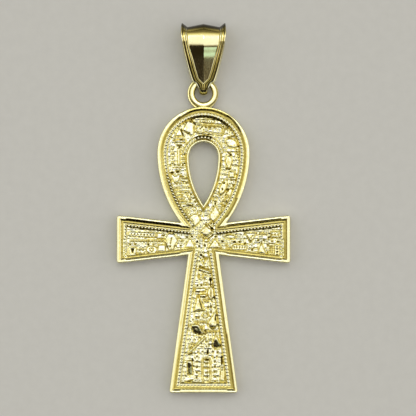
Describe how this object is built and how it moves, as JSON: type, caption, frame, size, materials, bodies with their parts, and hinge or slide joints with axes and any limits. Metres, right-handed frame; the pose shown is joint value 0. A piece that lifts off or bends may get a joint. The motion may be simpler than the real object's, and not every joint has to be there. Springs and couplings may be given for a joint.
{
  "type": "ankh pendant",
  "caption": "Gold ankh pendant with a raised rim, bead rows and raised signs on its front, a fixed top ring, and a folded tapered bail for a neck chain.",
  "frame": {"origin": "bottom centre of the box of the whole pendant, on its flat back, halfway along its length", "axes": "+X across the arms, +Y from the foot of the shaft to the bail, +Z out of the decorated front"},
  "size_m": [0.0212, 0.0452, 0.0038],
  "materials": {
    "cast_gold": "cast yellow gold, polished on the rim and the raised signs, darker in the recesses",
    "bail_gold": "polished yellow gold"
  },
  "bodies": {
    "root": {"ankh": "cast_gold", "bail": "bail_gold"}
  },
  "joints": []
}
